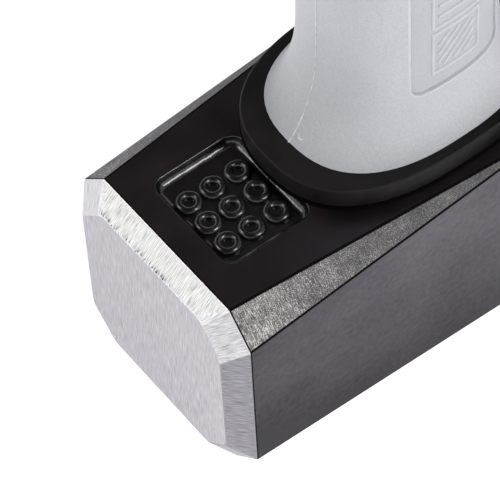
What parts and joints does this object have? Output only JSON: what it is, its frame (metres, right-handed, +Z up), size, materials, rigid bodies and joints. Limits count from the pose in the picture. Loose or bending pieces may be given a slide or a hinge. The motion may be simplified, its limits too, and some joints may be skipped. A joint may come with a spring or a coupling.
{
  "type": "splitting maul",
  "caption": "Long-handled splitting maul: forged wedge head with square ground poll and hollow cheeks, rubber collar, moulded jacket on a fibreglass core, soft rubber grip.",
  "frame": {"origin": "where the handle's axis meets the head's flat crown, which the maul stands on", "axes": "+Z up the handle from the crown to the grip, +X towards the cutting edge, -X towards the striking poll, Y across the cheeks"},
  "size_m": [0.1827, 0.057, 0.9],
  "materials": {
    "painted_steel": "satin black paint over forged steel, ground bright on the poll, corner chamfers and bit",
    "jacket_plastic": "light grey moulded polypropylene, fine satin texture",
    "black_rubber": "matt moulded rubber",
    "fibreglass": "pultruded glass rod, slightly fibrous",
    "epoxy": "cast amber brown epoxy"
  },
  "bodies": {
    "root": {"maul_head": "painted_steel", "eye_resin": "epoxy", "resin_dam": "black_rubber", "fibreglass_core": "fibreglass", "head_collar": "black_rubber", "handle_jacket": "jacket_plastic", "soft_grip": "black_rubber", "butt_cap": "jacket_plastic"}
  },
  "joints": []
}
